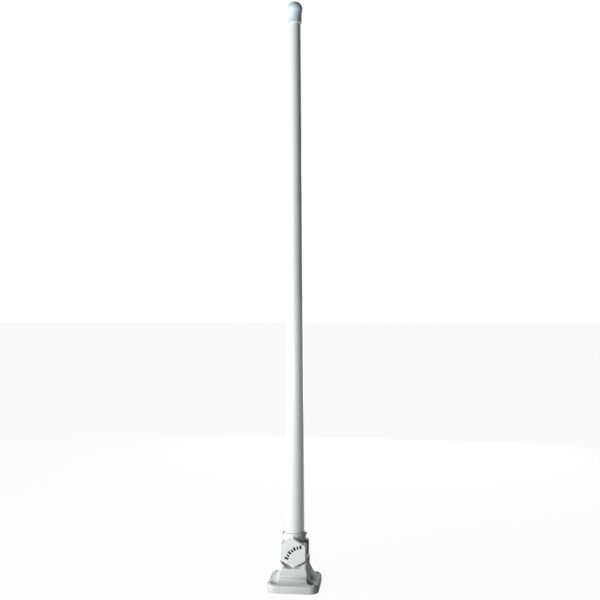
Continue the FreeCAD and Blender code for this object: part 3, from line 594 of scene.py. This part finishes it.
bpy.ops.object.select_all(action="DESELECT")
bpy.ops.mesh.primitive_cone_add(vertices=96, radius1=tube_high.x, radius2=MAST_TIP_RADIUS,
                                depth=tube_high.z - tube_low.z, end_fill_type="NOTHING",
                                location=(0, 0, (tube_high.z + tube_low.z) / 2))
mast = settle(bpy.context.object)
mast.name = "mast_shell"
wall = mast.modifiers.new("wall", "SOLIDIFY")
wall.thickness = MAST_WALL
wall.offset = -1
bpy.ops.object.modifier_apply(modifier="wall")
soften(mast, MAST_EDGE, segments=2, angle=60)
polish(mast, mast_coat, "mast", "mast_glassfibre")
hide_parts("mast_tube")
print("mast:", len(mast.data.polygons), "faces, radius", round(tube_high.x * 1000, 2), "to",
      round(MAST_TIP_RADIUS * 1000, 2), "mm")


# %% [markdown]
# ## Turned pieces
#
# The tip cap and the bead of sealant are round all the way, so each is its half section spun
# about the mast's axis. A single vertex is extruded from point to point to draw the section, and
# the Spin operator carries it round.

# %% A lathe
SEAM_WITHIN = 0.002 * MM


def lathe(name, section, steps=96):
    """Spins a section, given as (radius, height) points, about the Z axis."""
    bpy.ops.object.select_all(action="DESELECT")
    bpy.ops.mesh.primitive_plane_add(size=MM, location=(0, 0, 0))
    obj = bpy.context.object
    obj.name = name
    bpy.ops.object.mode_set(mode="EDIT")
    bpy.ops.mesh.merge(type="CENTER")  # the plane's four corners become the section's first point
    bpy.ops.transform.translate(value=(section[0][0], 0, section[0][1]))
    for (r0, z0), (r1, z1) in zip(section, section[1:]):
        bpy.ops.mesh.extrude_region_move(TRANSFORM_OT_translate={"value": (r1 - r0, 0, z1 - z0)})
    bpy.ops.mesh.select_all(action="SELECT")
    bpy.ops.mesh.spin(steps=steps, angle=2 * math.pi, center=(0, 0, 0), axis=(0, 0, 1))
    bpy.ops.mesh.select_all(action="SELECT")
    bpy.ops.mesh.remove_doubles(threshold=SEAM_WITHIN)
    bpy.ops.mesh.normals_make_consistent(inside=False)
    bpy.ops.object.mode_set(mode="OBJECT")
    return settle(obj)


def arc(radius, centre_height, start, end, count):
    """Points of an arc about a centre on the axis; the angles are degrees up from level."""
    angles = [math.radians(start + (end - start) * i / (count - 1)) for i in range(count)]
    return [(radius * math.cos(a), centre_height + radius * math.sin(a)) for a in angles]


# %% [markdown]
# ## The tip cap
#
# A soft cap is pushed over the end of the mast to keep rain out. It has a round head, a waist, a
# straight skirt and a rolled lip at its foot. Its bore follows the mast's taper.

# %% Make the tip cap
cap_low, cap_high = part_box("tip_cap")
BALL_RADIUS = (cap_high.x - cap_low.x) / 2
BALL_CENTRE = cap_high.z - BALL_RADIUS
SKIRT_RADIUS = 10.5 * MM
LIP_RADIUS = 10.75 * MM
LIP_HEIGHT = 1.6 * MM
LIP_SLOPE = 0.5 * MM
LIP_ROUND = 0.3 * MM
LIP_TUCK = 0.2 * MM
CAP_GAP = 0.1 * MM
# The waist, below the round head: how far it stands out of the skirt, and how far down it reaches.
WAIST_OUT = 0.35 * MM
WAIST_DROP = 0.8 * MM
SKIRT_DROP = 2.2 * MM
WAIST_EARLY = 4

waist_angle = WAIST_EARLY - math.degrees(math.acos(SKIRT_RADIUS / BALL_RADIUS))
section = arc(BALL_RADIUS, BALL_CENTRE, 90, waist_angle, 26)
waist = section[-1][1]
section += [(SKIRT_RADIUS + WAIST_OUT, waist - WAIST_DROP), (SKIRT_RADIUS, waist - SKIRT_DROP),
            (SKIRT_RADIUS, cap_low.z + LIP_HEIGHT + LIP_SLOPE), (LIP_RADIUS, cap_low.z + LIP_HEIGHT),
            (LIP_RADIUS, cap_low.z + LIP_ROUND), (SKIRT_RADIUS - LIP_TUCK, cap_low.z),
            (taper(cap_low.z) + CAP_GAP, cap_low.z), (taper(tube_high.z) + CAP_GAP, tube_high.z + CAP_GAP),
            (0, tube_high.z + CAP_GAP)]
cap = lathe("cap_shell", section)
polish(cap, cap_plastic, "mast", "cap_plastic", sharp=50)
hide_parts("tip_cap")
print("tip cap:", len(cap.data.polygons), "faces")

# %% [markdown]
# ## The bead of sealant
#
# Where the mast enters the collar, a thin bead keeps water out. It was wiped with a finger, so
# its face is hollow, from the collar's rim up to the mast.

# %% Make the bead
# The collar's rim has values of its own, because the head's box ends higher up, at the top of the
# spigot inside the mast.
spigot_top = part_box("swivel_head")[1].z
COLLAR_TOP = 84 * MM
COLLAR_RADIUS = 16.8 * MM
BEAD_HEIGHT = 0.9 * MM
BEAD_INSET = 0.5 * MM
BEAD_GAP = 0.02 * MM
HOLLOW_NEAR = 0.18 * MM
HOLLOW_FAR = 0.45 * MM

mast_there = taper(COLLAR_TOP) + BEAD_GAP
bead = lathe("sealant_bead", [(mast_there, COLLAR_TOP + BEAD_HEIGHT),
                              (mast_there + HOLLOW_NEAR, COLLAR_TOP + HOLLOW_FAR),
                              (mast_there + HOLLOW_FAR, COLLAR_TOP + HOLLOW_NEAR),
                              (COLLAR_RADIUS - BEAD_INSET, COLLAR_TOP + BEAD_GAP),
                              (mast_there, COLLAR_TOP + BEAD_GAP),
                              (mast_there, COLLAR_TOP + BEAD_HEIGHT)])
polish(bead, sealant, "mast", "gasket_rubber", sharp=50)
print("bead:", round(mast_there / MM, 2), "to", round((COLLAR_RADIUS - BEAD_INSET) / MM, 2), "mm in radius,",
      round((spigot_top - COLLAR_TOP) / MM, 1), "mm below the spigot's top")

# %% [markdown]
# ## The collar screws
#
# Two small pan-head screws go through the collar and the mast's wall from either side. A pan head
# has a flat underside, a short straight side, a domed top and a cross recess. The head is turned
# on the lathe, a cutter of two crossed blades takes the recess out of it, and the finished screw
# is copied for the other side.

# %% Turn one screw
screw_low, screw_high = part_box("collar_screws")
SCREW_HEIGHT = (screw_low.z + screw_high.z) / 2
HEAD_RADIUS = (screw_high.z - screw_low.z) / 2
HEAD_TALL = 2.3 * MM
HEAD_SIDE = 1.0 * MM
# The dome, from its middle outwards, as shares of the head's radius and of its height.
DOME = ((0, 1), (0.35, 0.98), (0.68, 0.88), (0.9, 0.68))
SHANK_RADIUS = 1.5 * MM
SHANK_DROP = 7.6 * MM
SHANK_POINT = 0.5 * MM
POINT_SHARE = 0.7
BLADE = (3.1 * MM, 0.75 * MM, 1.2 * MM)

section = [(HEAD_RADIUS * across, HEAD_TALL * up) for across, up in DOME]
section += [(HEAD_RADIUS, HEAD_SIDE), (HEAD_RADIUS, 0), (SHANK_RADIUS, 0),
            (SHANK_RADIUS, -SHANK_DROP + SHANK_POINT), (SHANK_RADIUS * POINT_SHARE, -SHANK_DROP),
            (0, -SHANK_DROP)]
screw = lathe("collar_screw_right", section, steps=48)
for turn in (0, 90):
    bpy.ops.object.select_all(action="DESELECT")
    bpy.ops.mesh.primitive_cube_add(size=1, location=(0, 0, HEAD_TALL))
    blade = bpy.context.object
    blade.scale = BLADE
    blade.rotation_euler.z = math.radians(turn)
    settle(blade)
    recess = screw.modifiers.new("recess", "BOOLEAN")
    recess.object = blade
    recess.solver = "EXACT"
    only(screw)
    bpy.ops.object.modifier_apply(modifier="recess")
    bpy.data.objects.remove(blade)
print("screw:", len(screw.data.polygons), "faces")

# %% [markdown]
# ## Both screws in place
#
# The screw was turned upright on the axis. It is duplicated, each copy gets a turn of its own, as
# screws have when they are tight, and then both are laid on their sides against the collar.

# %% Set both screws
RIGHT_TURN = 25
LEFT_TURN = 70
HEAD_GAP = 0.02 * MM

only(screw)
bpy.ops.object.duplicate(linked=False)
left_screw = bpy.context.object
left_screw.name = "collar_screw_left"
for obj, side, turn in ((screw, 1, RIGHT_TURN), (left_screw, -1, LEFT_TURN)):
    obj.rotation_euler = (0, 0, math.radians(turn))
    settle(obj)
    obj.rotation_euler = (0, math.radians(90 * side), 0)
    obj.location = (side * (COLLAR_RADIUS + HEAD_GAP), 0, SCREW_HEIGHT)
    settle(obj)
    polish(obj, stainless, "mast", "stainless")
    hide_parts("collar_screws")
print("screws at", round(SCREW_HEIGHT / MM, 1), "mm up")

# %% [markdown]
# ## The printed scale
#
# An arc of black graduations is printed on the cover plate, long and short by turns. Print has
# almost no thickness, so each tick stands out by less than a tenth of a millimetre. A tick is a
# thin block with softened edges, turned to point at the arc's centre.

# %% Print the scale
cover_low, cover_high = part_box("front_cover")
PIVOT_HEIGHT = (cover_low.z + cover_high.z) / 2
SCALE_ASIDE = 13.4 * MM
SCALE_BELOW = 15.0 * MM
SCALE_CENTRE = (SCALE_ASIDE, PIVOT_HEIGHT - SCALE_BELOW)
SCALE_RADIUS = 21.6 * MM
SCALE_START, SCALE_END = 95, 163
TICKS = 7
TICK_LONG = (5.8 * MM, 3.5 * MM)
TICK_SHORT = (4.8 * MM, 2.7 * MM)
INK_THICK = 0.08 * MM
INK_EDGE = 0.02 * MM

marks = []
for n in range(TICKS):
    angle = math.radians(SCALE_START + (SCALE_END - SCALE_START) * n / (TICKS - 1))
    length, width = TICK_LONG if n % 2 == 0 else TICK_SHORT
    bpy.ops.object.select_all(action="DESELECT")
    bpy.ops.mesh.primitive_cube_add(size=1)
    tick = bpy.context.object
    tick.scale = (length, INK_THICK, width)
    settle(tick)
    soften(tick, INK_EDGE, segments=1)
    reach = SCALE_RADIUS + length / 2
    tick.location = (SCALE_CENTRE[0] + reach * math.cos(angle), cover_low.y - INK_THICK / 2,
                     SCALE_CENTRE[1] + reach * math.sin(angle))
    tick.rotation_euler = (0, -angle, 0)
    marks.append(settle(tick))
bpy.ops.object.select_all(action="DESELECT")
for tick in marks:
    tick.select_set(True)
bpy.context.view_layer.objects.active = marks[0]
bpy.ops.object.join()
scale_print = bpy.context.object
scale_print.name = "scale_print"
polish(scale_print, ink, "mast", "knob_plastic")
print("scale:", TICKS, "ticks from", SCALE_START, "to", SCALE_END, "degrees")

# %% [markdown]
# ## The knob's face
#
# A flat disc closes the knob and hides the bolt's end. It is turned with a shallow dish and a
# rounded edge, because a plain disc would look cut rather than moulded.

# %% Make the knob's disc
disc_low, disc_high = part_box("knob_cap")
disc_radius = (disc_high.x - disc_low.x) / 2
disc_thick = disc_high.y - disc_low.y
# The half section, from its middle outwards, as shares of the disc's radius and of its thickness.
DISH = ((0, 0.62), (0.55, 0.66), (0.78, 1), (0.93, 1), (1, 0.8), (1, 0), (0, 0))
disc = lathe("knob_disc", [(disc_radius * across, disc_thick * up) for across, up in DISH], steps=64)
disc.rotation_euler = (math.radians(-90), 0, 0)
disc.location = (0, disc_low.y, (disc_low.z + disc_high.z) / 2)
settle(disc)
polish(disc, black_plastic, "knob", "knob_plastic", sharp=40)
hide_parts("knob_cap")
print("knob's disc:", round(2 * disc_radius / MM, 1), "mm across,", round(disc_thick / MM, 1), "mm thick")
